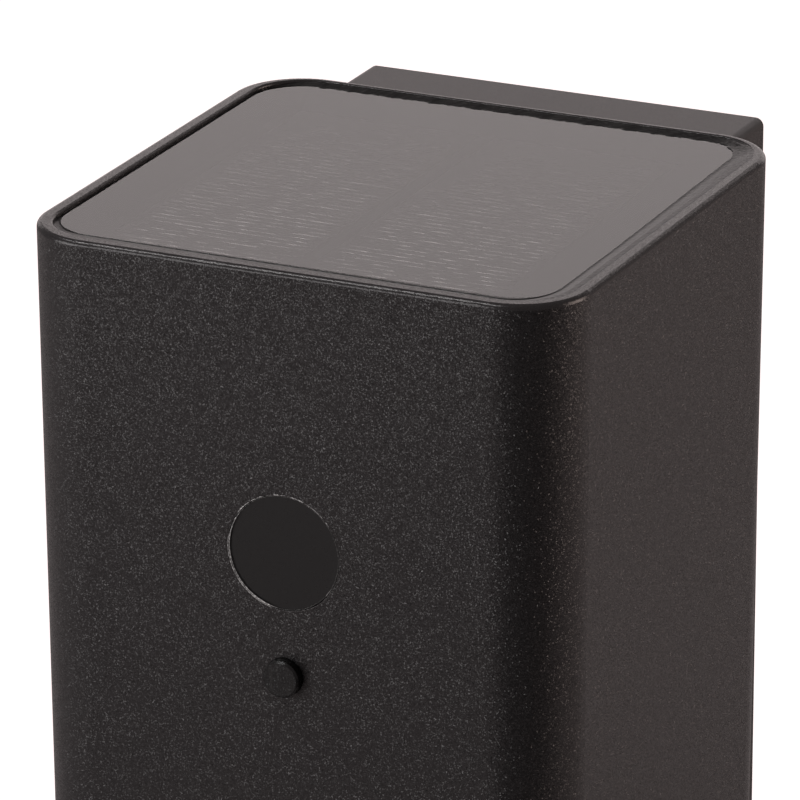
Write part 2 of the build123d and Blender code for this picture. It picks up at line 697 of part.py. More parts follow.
def battery_contacts():
    """Two negative plates with coil-cone tips below, and a bridge with two dimples above."""
    low = CRADLE_ENDS[0] + CRADLE_WALL
    high = CRADLE_ENDS[1] - CRADLE_WALL
    pieces = []
    for x in (-CELL_X, CELL_X):
        pad_top = low + CONTACT_THICK
        pad = plate(CONTACT_PAD, CONTACT_R, low, pad_top, x=x, y=CELL_Y)
        cone_height = CELL_LOW - pad_top
        tip = Pos(x, CELL_Y, pad_top + cone_height / 2) * Cone(*CONE, cone_height)
        pieces.append(pad + tip)
    bridge = plate(BRIDGE, CONTACT_R, high - CONTACT_THICK, high, y=CELL_Y)
    nub_top = CELL_LOW + CELL_CAN + CELL_NUB
    for x in (-CELL_X, CELL_X):
        bridge += rod_z(DIMPLE_R, x, CELL_Y, nub_top, high - CONTACT_THICK)
    pieces.append(bridge)
    return pieces


# ---- light unit and bottom cover ----------------------------------------------------------
def funnel(mouth, throat, low, high):
    """A square funnel between two heights, narrower at the top."""
    return loft([Pos(0, MID_Y, low) * Rectangle(*mouth), Pos(0, MID_Y, high) * Rectangle(*throat)])


HOOD_RIM = (76.0, 72.0)
HOOD_RIM_R = 8.0
HOOD_EARS = (85.0, 44.0)
HOOD_EARS_R = 3.0
HOOD_SHELF = 3.0          # flat top that the board lies on
HOOD_TAPER_STOP = 1.0     # the funnel's outside ends this far below the shelf's top
HOOD_POST_R = 2.4
HOOD_POST_BORE = 1.35
LED_TAPPED = (0.95, 2.6)              # radius and depth
LED_CLEAR_R = 1.1


def reflector():
    """White moulded hood: a square funnel, a flat top for the board, a rim with four posts."""
    rim = plate(HOOD_RIM, HOOD_RIM_R, RIM_LOW, RIM_LOW + RIM_THICK)
    rim += plate(HOOD_EARS, HOOD_EARS_R, RIM_LOW, RIM_LOW + RIM_THICK)
    outer_mouth = tuple(side + 2 * HOOD_WALL for side in HOOD_MOUTH)
    outer_throat = tuple(side + 2 * HOOD_WALL for side in HOOD_THROAT)
    hood = rim + funnel(outer_mouth, outer_throat, RIM_LOW, HOOD_TOP - HOOD_TAPER_STOP)
    hood += plate(LED_BOARD, LED_BOARD_R, HOOD_TOP - HOOD_SHELF, HOOD_TOP)
    hood -= funnel(HOOD_MOUTH, HOOD_THROAT, RIM_LOW, HOOD_TOP)
    for x, y in POSTS:
        hood += rod_z(HOOD_POST_R, x, y, BEZEL_TOP, RIM_LOW)
        hood -= rod_z(HOOD_POST_BORE, x, y, BEZEL_TOP, RIM_LOW + RIM_THICK)
    hole_r, hole_deep = LED_TAPPED
    for x in (-LED_SCREW_X, LED_SCREW_X):
        hood -= rod_z(hole_r, x, MID_Y, HOOD_TOP - hole_deep, HOOD_TOP)
    return hood


def led_board():
    """Metal-core board that carries the light-emitting chips on its underside."""
    board = plate(LED_BOARD, LED_BOARD_R, HOOD_TOP, HOOD_TOP + LED_BOARD_THICK)
    for x in (-LED_SCREW_X, LED_SCREW_X):
        board -= rod_z(LED_CLEAR_R, x, MID_Y, HOOD_TOP, HOOD_TOP + LED_BOARD_THICK)
    return board


LED_COLUMNS = (-11.25, -3.75, 3.75, 11.25)
LED_ROWS = (-9.0, 0.0, 9.0)
LED_CHIP = (3.5, 2.8)
LED_CHIP_THICK = 0.75


def led_chips():
    """Twelve small white chips in a grid."""
    chips = []
    for x in LED_COLUMNS:
        for y in LED_ROWS:
            place = Pos(x, MID_Y + y, HOOD_TOP)
            chips.append(extrude(place * Rectangle(*LED_CHIP), amount=-LED_CHIP_THICK))
    return chips


WINDOW_CHAMFER = 1.6
BEZEL_SINK = (3.2, 1.6)               # radius and depth
BEZEL_TAPPED = (1.1, 2.0)             # for the hood's screws


def bottom_bezel():
    """Cast cover in the mouth: a chamfered window and four sunk screw holes."""
    outline, radius = foot_outline(WALL - REBATE + BEZEL_GAP)
    bezel = plate(outline, radius, BEZEL_LOW, BEZEL_TOP)
    bezel -= plate(WINDOW, WINDOW_R, BEZEL_LOW, BEZEL_TOP)
    window_edge = bezel.faces().sort_by(Axis.Z)[0].inner_wires()[0].edges()
    bezel = chamfer(window_edge, WINDOW_CHAMFER)
    sink_r, sink_deep = BEZEL_SINK
    for x, y in CORNERS:
        bezel -= rod_z(sink_r, x, y, BEZEL_LOW, BEZEL_LOW + sink_deep)
        bezel -= rod_z(CLEAR_R, x, y, BEZEL_LOW, BEZEL_TOP)
    hole_r, hole_deep = BEZEL_TAPPED
    for x, y in POSTS:
        bezel -= rod_z(hole_r, x, y, BEZEL_TOP - hole_deep, BEZEL_TOP)
    return bezel


def bottom_gasket():
    """Rubber ring pressed between the bezel and the mouth's ledge."""
    outer, outer_r = foot_outline(WALL - REBATE + BEZEL_GAP / 2)
    inner, inner_r = foot_outline(WALL - ROOT)
    return plate(outer, outer_r, BEZEL_TOP, LEDGE_Z) - plate(inner, inner_r, BEZEL_TOP, LEDGE_Z)


# ---- wall canopy --------------------------------------------------------------------------
CANOPY_INNER_R = 1.0
HOOK_BAR_WIDTH = 32.0
HOOK_BAR_Y = (-9.2, -11.2)            # back and front of the bar that hangs on the strap's hook
HOOK_BAR_ROOT = 0.5
CANOPY_CLEAR_R = 2.3
LUG_TAPPED_R = 2.0


def wall_canopy():
    """Cast box open to the wall, with a hook bar inside its top and a screw hole below."""
    outline = RectangleRounded(CANOPY_WIDTH, CANOPY_HEIGHT, CANOPY_CORNER_R)
    box = forward(outline, 0, BACK_Y)
    inside = (CANOPY_WIDTH - 2 * CANOPY_WALL, CANOPY_HEIGHT - 2 * CANOPY_WALL)
    box -= forward(RectangleRounded(*inside, CANOPY_INNER_R), 0, CANOPY_IN)
    roof = CANOPY_HEIGHT / 2 - CANOPY_WALL
    bar_top = roof + HOOK_BAR_ROOT
    bar = Pos(0, (STRAP_HALF + bar_top) / 2) * Rectangle(HOOK_BAR_WIDTH, bar_top - STRAP_HALF)
    box += forward(bar, *HOOK_BAR_Y)
    for x, z in CANOPY_SCREWS:
        box -= rod_y(CANOPY_CLEAR_R, x, z, CANOPY_IN, BACK_Y)
    return box - rod_z(CANOPY_CLEAR_R, 0, LUG_Y, -CANOPY_HEIGHT / 2, -roof)


def wall_strap():
    """Bent steel strap: hook lug at the top, threaded lug at the bottom, two upright slots."""
    top = STRAP_HALF
    under = STRAP_HALF - STRAP_THICK
    profile = Polyline(
        (0, -top),
        (0, top),
        (LUG_TIP_Y, top),
        (LUG_TIP_Y, top + HOOK_RISE),
        (HOOK_TIP_Y, top + HOOK_RISE),
        (HOOK_TIP_Y, under),
        (-STRAP_THICK, under),
        (-STRAP_THICK, -under),
        (LUG_TIP_Y, -under),
        (LUG_TIP_Y, -top),
        close=True,
    )
    bends = [
        (0, -top, BEND_R),
        (-STRAP_THICK, -under, BEND_INNER_R),
        (0, top, BEND_R),
        (-STRAP_THICK, under, BEND_INNER_R),
        (HOOK_TIP_Y, under, BEND_R),
        (LUG_TIP_Y, top, BEND_INNER_R),
    ]
    side = Plane(origin=(-STRAP_WIDTH / 2, 0, 0), x_dir=(0, 1, 0), z_dir=(1, 0, 0))
    sheet = make_face(profile)
    for y, z, bend in bends:
        corner = sheet.vertices().sort_by_distance((y, z, 0))[0]
        sheet = fillet(corner, bend)
    strap = extrude(side * sheet, amount=STRAP_WIDTH)
    for z in (-SLOT_Z, SLOT_Z):
        strap -= forward(Pos(0, z) * SlotOverall(*SLOT, rotation=90), 0, -STRAP_THICK)
    return strap - rod_z(LUG_TAPPED_R, 0, LUG_Y, -top, -under)


# ---- write every node ---------------------------------------------------------------------
save("housing", housing())
solar_panel()
save("lead_grommet", lead_grommet())
sensor_group()
save("mode_button", mode_button())
save("button_seal", button_seal())
save("tact_switch", tact_switch())
save("switch_plunger", rod_y(PLUNGER_R, 0, BUTTON_Z, PLUNGER_BACK, PLUNGER_TIP))

save("control_board", control_board())
save("charge_chip", charge_chip())
save("inductor", inductor())
save("capacitor", capacitor())
save("lead_sockets", *[lead_socket(x, z) for x, z in SOCKETS.values()])
save("lead_plugs", *[lead_plug(x, z) for x, z in SOCKETS.values()])
save("board_screws", *[screw_y(SMALL_SCREW, BOARD_SCREW_LONG, x, z, BOARD_BACK) for x, z in BOARD_HOLES])

save("battery_cell_left", battery_cell(-CELL_X))
save("battery_cell_right", battery_cell(CELL_X))
save("battery_cradle", battery_cradle())
save("battery_contacts", *battery_contacts())
save("cradle_screws", *[cradle_screw(z) for z in CRADLE_SCREWS])

save("reflector", reflector())
save(
    "reflector_screws",
    *[screw_z(HOOD_SCREW, HOOD_SCREW_LONG, x, y, RIM_LOW + RIM_THICK, False) for x, y in POSTS],
)
save("led_board", led_board())
save("led_chips", *led_chips())
save(
    "led_screws",
    *[
        screw_z(LED_SCREW, LED_SCREW_LONG, x, MID_Y, HOOD_TOP + LED_BOARD_THICK, False)
        for x in (-LED_SCREW_X, LED_SCREW_X)
    ],
)
save("diffuser", plate(DIFFUSER, DIFFUSER_R, DIFFUSER_LOW, RIM_LOW))
seal = plate(DIFFUSER, DIFFUSER_R, BEZEL_TOP, DIFFUSER_LOW)
save("diffuser_gasket", seal - plate(WINDOW, WINDOW_R, BEZEL_TOP, DIFFUSER_LOW))
save("bottom_bezel", bottom_bezel())
save("bottom_gasket", bottom_gasket())
save(
    "bezel_screws",
    *[screw_z(BEZEL_SCREW, BEZEL_SCREW_LONG, x, y, BEZEL_LOW + BEZEL_SINK[1], True) for x, y in CORNERS],
)

save("wall_canopy", wall_canopy())
save(
    "canopy_screws",
    *[screw_y(CANOPY_SCREW, CANOPY_SCREW_LONG, x, z, CANOPY_IN) for x, z in CANOPY_SCREWS],
)
save("wall_strap", wall_strap())
save("lock_screw", screw_z(LOCK_SCREW, LOCK_SCREW_LONG, 0, LUG_Y, -CANOPY_HEIGHT / 2, True))

# ---- leads, from each piece to its plug ----------------------------------------------------
def straight_out(name, x, y, start_z):
    """A lead's route: along Z from its piece, then one bend forward into its plug."""
    plug_z = SOCKETS[name][1]
    return lead(LEAD_R, (x, y, start_z), (x, y, plug_z), (x, PLUG_BACK, plug_z))


save("panel_lead", straight_out("panel", *GROMMET, POCKET_Z))
save("battery_lead", straight_out("battery", 0.0, CELL_Y, CRADLE_ENDS[1]))
save("led_lead", straight_out("led", SOCKETS["led"][0], MID_Y, HOOD_TOP + LED_BOARD_THICK))
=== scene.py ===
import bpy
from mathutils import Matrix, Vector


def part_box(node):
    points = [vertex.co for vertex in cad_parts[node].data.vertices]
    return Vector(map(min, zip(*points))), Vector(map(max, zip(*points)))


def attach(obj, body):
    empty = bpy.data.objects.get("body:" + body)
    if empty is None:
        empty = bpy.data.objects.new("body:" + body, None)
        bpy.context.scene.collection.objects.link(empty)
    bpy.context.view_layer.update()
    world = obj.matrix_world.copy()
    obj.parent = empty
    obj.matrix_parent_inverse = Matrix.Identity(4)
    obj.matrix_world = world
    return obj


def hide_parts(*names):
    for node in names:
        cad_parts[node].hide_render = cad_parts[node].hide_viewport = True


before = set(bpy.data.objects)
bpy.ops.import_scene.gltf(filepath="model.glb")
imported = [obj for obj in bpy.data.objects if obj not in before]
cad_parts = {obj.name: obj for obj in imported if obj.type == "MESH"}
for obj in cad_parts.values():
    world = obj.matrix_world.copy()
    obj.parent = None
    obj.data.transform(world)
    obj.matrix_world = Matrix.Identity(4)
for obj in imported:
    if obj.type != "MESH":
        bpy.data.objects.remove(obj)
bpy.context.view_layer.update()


# ---------------------------------------------------------------------------------------------------
# Camera. A long lens stands to the right of the front and looks down on the top half of the light,
# so the box's uprights stay nearly parallel. It is tipped a little on its own axis.
# ---------------------------------------------------------------------------------------------------
import math
import bpy
from mathutils import Matrix, Vector

AIM = Vector((-0.000997, -0.067782, 0.051291))
STAND = Vector((0.474918, -1.097526, 0.466444))
LENS_MM = 316.582
FILM_WIDTH_MM = 36.0
NEAREST = 0.05
TIP = math.radians(-0.084)

view = bpy.data.cameras.new("view")
view.lens = LENS_MM
view.sensor_width = FILM_WIDTH_MM
view.clip_start = NEAREST
camera = bpy.data.objects.new("camera", view)
bpy.context.scene.collection.objects.link(camera)
sight = (AIM - STAND).to_track_quat("-Z", "Y").to_matrix().to_4x4()
camera.matrix_world = Matrix.Translation(STAND) @ sight @ Matrix.Rotation(TIP, 4, "Z")
bpy.context.scene.camera = camera
bpy.context.scene.view_settings.view_transform = "Standard"


# ---------------------------------------------------------------------------------------------------
# Housing, wall canopy and bottom bezel. The box is one die-casting, with the canopy that meets the
# wall and the bezel round the light window cast apart. All three are blasted and given the same
# fine-textured black powder coat, which has a close grain and pin-point sparkle.
# ---------------------------------------------------------------------------------------------------
COAT_BLACK = (0.0130, 0.0120, 0.0124)
COAT_PALE = (0.0290, 0.0270, 0.0276)
COAT_WARMTH = (1.0, 0.96, 0.96)
COAT_GRAINS = 7800.0             # to the metre
COAT_MOTTLE = (0.40, 0.68)       # of the pattern, where the black ends and where the pale begins
COAT_LEAST_TILT = 0.26
COAT_MOST_TILT = 1.40
COAT_LEVELLED = 0.22             # share of a grain's tilt that is left where the powder flowed out level
STEEP_GRAINS = 2.5               # the higher, the fewer of the grains are steep
LEVEL_FACES = (0.02, 0.16)       # how far a face looks up, where the powder begins and ends to flow out
PATTERN_FALL = 0.55              # how much of each soft pattern's strength its next finer one has
MID_GREY = (0.5, 0.5, 0.5)
MIX_FIRST, MIX_SECOND, MIX_RESULT = 6, 7, 2    # the colour sockets of a Mix node


def finish(name, **values):
    """A material of one Principled shader, with its constant values on the shader's own sockets."""
    made = bpy.data.materials.new(name)
    made.use_nodes = True
    shader = made.node_tree.nodes["Principled BSDF"]
    for socket, value in values.items():
        if isinstance(value, tuple):
            value = (*value, 1.0)
        shader.inputs[socket.replace("_", " ")].default_value = value
    return made


def node(made, kind, **values):
    """One more node of a finish: names that are no input of it are settings."""
    new = made.node_tree.nodes.new("ShaderNode" + kind)
    for name, value in values.items():
        if name.replace("_", " ") in new.inputs:
            new.inputs[name.replace("_", " ")].default_value = value
        else:
            setattr(new, name, value)
    return new


def link(made, source, target):
    made.node_tree.links.new(source, target)


def result_of(made, operation, first, second=0.0):
    """What one operation makes of two values, each a number or another node's output."""
    new = node(made, "Math", operation=operation)
    for socket, value in zip(new.inputs, (first, second)):
        if isinstance(value, (int, float)):
            socket.default_value = value
        else:
            link(made, value, socket)
    return new.outputs[0]


def place(made, stretch=(1.0, 1.0, 1.0)):
    """Where a point is on the part, in metres, with each axis stretched for a pattern that runs along it."""
    here = node(made, "TexCoord").outputs["Object"]
    if stretch == (1.0, 1.0, 1.0):
        return here
    scaled = node(made, "Mapping", Scale=stretch)
    link(made, here, scaled.inputs["Vector"])
    return scaled.outputs["Vector"]


def grain(made, per_metre, detail=2.0, stretch=(1.0, 1.0, 1.0)):
    """Soft random grain, about 0 to 1, with so many grains to the metre."""
    new = node(made, "TexNoise", Scale=per_metre, Detail=detail, Roughness=PATTERN_FALL)
    link(made, place(made, stretch), new.inputs["Vector"])
    return new.outputs["Fac"]


def between(made, value, low, high, bottom=0.0, top=1.0):
    """A value from low to high, spread from bottom to top and held there."""
    new = node(made, "MapRange", From_Min=low, From_Max=high, To_Min=bottom, To_Max=top)
    link(made, value, new.inputs["Value"])
    return new.outputs["Result"]


def mixed(made, share, first, second):
    """First colour where share is 0, second where it is 1. A colour is three numbers or an output."""
    new = node(made, "Mix", data_type="RGBA")
    link(made, share, new.inputs["Factor"])
    for socket, value in ((new.inputs[MIX_FIRST], first), (new.inputs[MIX_SECOND], second)):
        if isinstance(value, tuple):
            socket.default_value = (*value, 1.0)
        else:
            link(made, value, socket)
    return new.outputs[MIX_RESULT]


def shader_of(made):
    return made.node_tree.nodes["Principled BSDF"]


def coloured(made, colour):
    link(made, colour, shader_of(made).inputs["Base Color"])


def roughened(made, value, low, high):
    """Roughness from low to high as a pattern goes from 0 to 1."""
    link(made, between(made, value, 0.0, 1.0, low, high), shader_of(made).inputs["Roughness"])


def dress(made, *names):
    """Gives CAD nodes a finish in place of their plain one."""
    for name in names:
        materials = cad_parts[name].data.materials
        materials.clear()
        materials.append(made)


def grained(made, per_metre, least, most, levelled):
    """Grains that each lean their own way: most nearly flat, and some steep enough to glint."""
    shape = node(made, "NewGeometry").outputs["Normal"]
    grains = node(made, "TexVoronoi", Scale=per_metre)
    link(made, place(made), grains.inputs["Vector"])
    lot = node(made, "TexWhiteNoise", noise_dimensions="3D")
    link(made, grains.outputs["Position"], lot.inputs["Vector"])
    steepness = result_of(made, "POWER", lot.outputs["Value"], STEEP_GRAINS)
    split = node(made, "SeparateXYZ")
    link(made, shape, split.inputs["Vector"])
    flow = between(made, split.outputs["Z"], *LEVEL_FACES, 1.0, levelled)
    tilt = result_of(made, "MULTIPLY", between(made, steepness, 0.0, 1.0, least, most), flow)
    lean = node(made, "VectorMath", operation="SUBTRACT")
    link(made, grains.outputs["Color"], lean.inputs[0])
    lean.inputs[1].default_value = MID_GREY
    leaning = node(made, "VectorMath", operation="SCALE")
    link(made, lean.outputs[0], leaning.inputs[0])
    link(made, tilt, leaning.inputs["Scale"])
    facing = node(made, "VectorMath", operation="ADD")
    link(made, shape, facing.inputs[0])
    link(made, leaning.outputs[0], facing.inputs[1])
    level = node(made, "VectorMath", operation="NORMALIZE")
    link(made, facing.outputs[0], level.inputs[0])
    link(made, level.outputs[0], shader_of(made).inputs["Normal"])


def powder_coat(name, shine, levelled, dullest, smoothest):
    """Fine-textured black powder, duller in its dark grains than in its pale ones."""
    made = finish(name, Specular_IOR_Level=shine, Specular_Tint=COAT_WARMTH)
    grained(made, COAT_GRAINS, COAT_LEAST_TILT, COAT_MOST_TILT, levelled)
    close = grain(made, COAT_GRAINS, detail=1.0)
    coloured(made, mixed(made, between(made, close, *COAT_MOTTLE), COAT_BLACK, COAT_PALE))
    roughened(made, close, dullest, smoothest)
    return made


box_coat = powder_coat("black_powder_coat", shine=0.5, levelled=COAT_LEVELLED, dullest=0.30, smoothest=0.20)
dress(box_coat, "housing", "bottom_bezel")
canopy_coat = powder_coat("canopy_powder_coat", shine=0.62, levelled=0.5 * COAT_LEVELLED, dullest=0.44,
                          smoothest=0.34)
dress(canopy_coat, "wall_canopy")


# ---------------------------------------------------------------------------------------------------
# Solar panel: a dark laminate backing with two cells of silicon under a clear cover. The cells carry
# fine silver lines printed across them, broken where the print is thin. Over the lines the cover is
# painted silver as a painted glint, and on both the lines fade to the back as painted glint.
# ---------------------------------------------------------------------------------------------------
CELL_BLACK = (0.016, 0.016, 0.019)
CELL_SILVER = (0.60, 0.57, 0.56)
COVER_CLEAR = (0.96, 0.955, 0.95)
COVER_GLINT_SILVER = (0.80, 0.76, 0.75)
COVER_LEAST_CLEAR = 0.30         # how much light still goes through the cover on a line
FINGER_PITCH = 0.00178
FINGER_HALF_WIDTH = 0.062        # of the pitch
FINGER_SOFTNESS = 0.01           # of the pitch, to each side of a line's edge
FINGER_BREAKS = 300.0            # to the metre
FINGER_SHIFT = 7.31              # so that neighbouring lines break in other places
FINGER_INK = (0.44, 0.66)        # of the pattern, where thin print ends and where full print begins
FINGER_GLINT_FADE = (-0.035, -0.095)   # depths over which a painted glint brings the printed lines up, from back to front
FINGER_GLINT_AT_BACK = 0.10                # how strong the painted glint leaves them at the back
CELL_EDGES = ((-0.03575, -0.00125), (0.00175, 0.03625))
CELL_FADE_LEFT = 0.006
CELL_FADE_RIGHT = 0.003


def bumped(made, height, depth, strength=1.0):
    """Relief of that depth in metres where a pattern goes from 0 to 1."""
    new = node(made, "Bump", Strength=strength, Distance=depth)
    link(made, height, new.inputs["Height"])
    link(made, new.outputs["Normal"], shader_of(made).inputs["Normal"])


def mottled(name, dark, pale, grains, smooth, rough, detail=2.0, stretch=(1.0, 1.0, 1.0), relief=0.0,
            strength=1.0, **values):
    """A finish whose colour, roughness and, where it has any, relief all follow one soft pattern."""
    made = finish(name, **values)
    pattern = grain(made, grains, detail, stretch)
    coloured(made, mixed(made, pattern, dark, pale))
    roughened(made, pattern, smooth, rough)
    if relief:
        bumped(made, pattern, relief, strength)
    return made


def print_and_glint_lines(made, faintest):
    """Where the broken silver lines run, from 0 to 1, and brighter towards the front as a painted glint."""
    spot = node(made, "SeparateXYZ")
    link(made, place(made), spot.inputs["Vector"])
    x, y = spot.outputs["X"], spot.outputs["Y"]
    row = result_of(made, "DIVIDE", y, FINGER_PITCH)
    off_gap = result_of(made, "ABSOLUTE", result_of(made, "SUBTRACT", result_of(made, "FRACT", row), 0.5))
    off_line = result_of(made, "ABSOLUTE", result_of(made, "SUBTRACT", off_gap, 0.5))
    line = between(made, off_line, FINGER_HALF_WIDTH + FINGER_SOFTNESS, FINGER_HALF_WIDTH - FINGER_SOFTNESS)
    number = result_of(made, "FLOOR", result_of(made, "ADD", row, 0.5))
    along = node(made, "CombineXYZ")
    link(made, result_of(made, "MULTIPLY", x, FINGER_BREAKS), along.inputs["X"])
    link(made, result_of(made, "MULTIPLY", number, FINGER_SHIFT), along.inputs["Y"])
    ink = node(made, "TexNoise", Scale=1.0, Detail=3.0, Roughness=0.6)
    link(made, along.outputs["Vector"], ink.inputs["Vector"])
    inked = between(made, ink.outputs["Fac"], *FINGER_INK, faintest, 1.0)
    # Painted glint: the lines are painted fainter towards the back and full towards the front.
    glint_fade = between(made, y, *FINGER_GLINT_FADE, FINGER_GLINT_AT_BACK, 1.0)
    on_cell = 0.0
    for low, high in CELL_EDGES:
        from_left = between(made, x, low, low + CELL_FADE_LEFT)
        from_right = between(made, x, high, high - CELL_FADE_RIGHT)
        on_cell = result_of(made, "ADD", result_of(made, "MULTIPLY", from_left, from_right), on_cell)
    silver_and_glint = result_of(made, "MULTIPLY", inked, glint_fade)
    return result_of(made, "MULTIPLY", result_of(made, "MULTIPLY", line, on_cell), silver_and_glint)


backing = mottled("panel_backing", dark=(0.030, 0.029, 0.030), pale=(0.036, 0.035, 0.036), grains=900.0,
                  smooth=0.5, rough=0.65, Specular_IOR_Level=0.4)
dress(backing, "solar_panel")

cells = finish("solar_cell", Specular_IOR_Level=0.5)
print_and_glint_of_cells = print_and_glint_lines(cells, faintest=0.1)
coloured(cells, mixed(cells, print_and_glint_of_cells, CELL_BLACK, CELL_SILVER))
roughened(cells, print_and_glint_of_cells, 0.25, 0.42)
dress(cells, "solar_cells")

cover = finish("panel_clear", IOR=1.5, Base_Color=COVER_CLEAR)
roughened(cover, grain(cover, 700.0), 0.015, 0.03)
# Painted glint: over the printed lines the cover is painted silver and made less clear.
cover_glint = print_and_glint_lines(cover, faintest=0.0)
clearness = between(cover, cover_glint, 0.0, 1.0, 1.0, COVER_LEAST_CLEAR)
link(cover, clearness, shader_of(cover).inputs["Transmission Weight"])
coloured(cover, mixed(cover, cover_glint, COVER_CLEAR, COVER_GLINT_SILVER))
dress(cover, "panel_cover")


# ---------------------------------------------------------------------------------------------------
# Panel sealant: black silicone run round the panel by hand from a nozzle. It fills the gap to the
# rim, laps onto the glass as a welt on the right and in ragged tongues along the back, stays level
# with the glass in front, and is wiped down low on the left.
# ---------------------------------------------------------------------------------------------------
import random
import bmesh

POCKET_CORNER = 0.0098
PANEL_CORNER = 0.0082
BEAD_STATIONS = 900
BEAD_SHOULDER = 0.0007           # how far under its outer edge it is back on the pocket's wall
BEAD_OFF_FLOOR = 0.00002
FRONT_GROOVE = (0.02, 0.28)      # where the groove is at the left, and how far it drifts to the right
RIGHT_LAP = 0.0013               # onto the glass, wider by this much in one depth of the panel
RIGHT_LAP_START = 0.35           # of the panel's depth, from the front
RIGHT_LAP_RAGGED = 0.3
RIGHT_WAVER = 0.04
BACK_LAP = 0.0004
BACK_LAP_LEAST = 0.00003
BACK_LAP_RAGGED = 2.2
BACK_ROUGH = 0.00032

pocket_low, pocket_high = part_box("panel_sealant")
panel_low, panel_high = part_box("panel_cover")
GLASS_TOP = panel_high[2]
RIM_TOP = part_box("housing")[1][2]
BEAD_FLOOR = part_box("solar_panel")[0][2] + BEAD_OFF_FLOOR


def round_walk(size, corner, middle, count):
    """Points evenly round a rounded rectangle, each with its outward direction and its share of the way."""
    half_x, half_y = size[0] / 2 - corner, size[1] / 2 - corner
    arc = corner * math.pi / 2
    corners = ((half_x, half_y), (-half_x, half_y), (-half_x, -half_y), (half_x, -half_y))
    runs = []
    for turn, (cx, cy) in enumerate(corners):
        start = turn * math.pi / 2
        runs.append(("arc", arc, cx, cy, start))
        straight = 2 * half_x if turn % 2 == 0 else 2 * half_y
        runs.append(("line", straight, cx, cy, start + math.pi / 2))
    total = sum(run[1] for run in runs)
    found = []
    for i in range(count):
        left = total * i / count
        for kind, length, cx, cy, angle in runs:
            if left <= length:
                break
            left -= length
        facing = angle + left / corner if kind == "arc" else angle
        out = Vector((math.cos(facing), math.sin(facing)))
        point = Vector((cx, cy)) + out * corner
        if kind == "line":
            point += Vector((-out.y, out.x)) * left
        found.append((point + Vector(middle), out, i / count))
    return found


def wander(seed, waves):
    """A random value that is back where it began after one turn. Waves are (how many, how large) pairs."""
    draw = random.Random(seed)
    parts = [(n, size, draw.uniform(0, math.tau)) for n, size in waves]
    return lambda share: sum(size * math.sin(math.tau * n * share + phase) for n, size, phase in parts)


def ring_mesh(name, rings):
    """A closed band through rings of points, each ring one station of the same count of points."""
    mesh = bpy.data.meshes.new(name)
    shape = bmesh.new()
    verts = [[shape.verts.new(point) for point in ring] for ring in rings]
    per_ring = len(rings[0])
    for i, ring in enumerate(verts):
        after = verts[(i + 1) % len(verts)]
        for j in range(per_ring):
            k = (j + 1) % per_ring
            shape.faces.new((ring[j], after[j], after[k], ring[k]))
    bmesh.ops.recalc_face_normals(shape, faces=shape.faces)
    shape.to_mesh(mesh)
    shape.free()
    mesh.polygons.foreach_set("use_smooth", [True] * len(mesh.polygons))
    made = bpy.data.objects.new(name, mesh)
    bpy.context.scene.collection.objects.link(made)
    return made


def size_and_middle(low, high):
    size = (high[0] - low[0], high[1] - low[1])
    middle = ((low[0] + high[0]) / 2, (low[1] + high[1]) / 2)
    return size, middle


# Each side's profile has eleven points: how far out, how much of the way from the panel's edge to the
# pocket's wall, and how high. The last three lie on the rim's top, in front and on the right.
ONTO_RIM = [(0.00044, 1, RIM_TOP), (0.00048, 1, RIM_TOP), (0.0005, 1, RIM_TOP - 0.00005)]


def front_profile(groove):
    """Level with the glass but for one thin groove, then a plain slope up and over the rim."""
    skin, bottom = GLASS_TOP - 0.00001, GLASS_TOP - 0.00018
    return [
        (0, 0, skin), (0, groove, skin), (0, groove + 0.02, bottom), (0, groove + 0.11, bottom),
        (0, groove + 0.14, GLASS_TOP), (0, 0.66, GLASS_TOP + 0.00004), (0, 0.97, RIM_TOP - 0.00016),
        (0.0002, 1, RIM_TOP), *ONTO_RIM,
    ]


def right_profile(lap, waver):
    """A low welt laid on the glass, a dip behind it, and one smooth slope up to the rim."""
    return [
        (-lap, 0, GLASS_TOP + 0.00001), (-0.97 * lap, 0.01, GLASS_TOP + 0.00013),
        (-0.92 * lap, 0.03, GLASS_TOP + 0.00013), (-0.85 * lap, 0.11, GLASS_TOP + 0.00003),
        (-0.5 * lap, 0.30, GLASS_TOP + 0.00018), (0, 0.70 + waver, GLASS_TOP + 0.00044),
        (0, 0.77 + waver, RIM_TOP - 0.00003), (0, 0.82 + waver, RIM_TOP), *ONTO_RIM,
    ]


def back_profile(lap, rough):
    """Tongues on the glass, then small rough steps up to just under the rim."""
    steps = ((0.16, 0.00018, 1), (0.30, 0.00024, -1), (0.45, 0.0003, 1), (0.60, 0.00036, -1),
             (0.75, 0.00042, 1))
    return [
        (-lap, 0, GLASS_TOP + 0.00001), (0.00006 - lap, 0, GLASS_TOP + 0.00006),
        (0, 0.04, GLASS_TOP + 0.00012),
        *[(0, across, GLASS_TOP + rise + way * rough) for across, rise, way in steps],
        (0, 0.88, RIM_TOP - 0.00022 + 0.5 * rough), (0, 0.98, RIM_TOP - 0.0001), (0, 1, RIM_TOP - 0.00015),
    ]


def left_profile():
    """Low and flat, well under the rim."""
    flat = [(0, across, GLASS_TOP - 0.00035) for across in (*[tenth / 10 for tenth in range(9)], 0.98)]
    return [*flat, (0, 1, GLASS_TOP - 0.0004)]


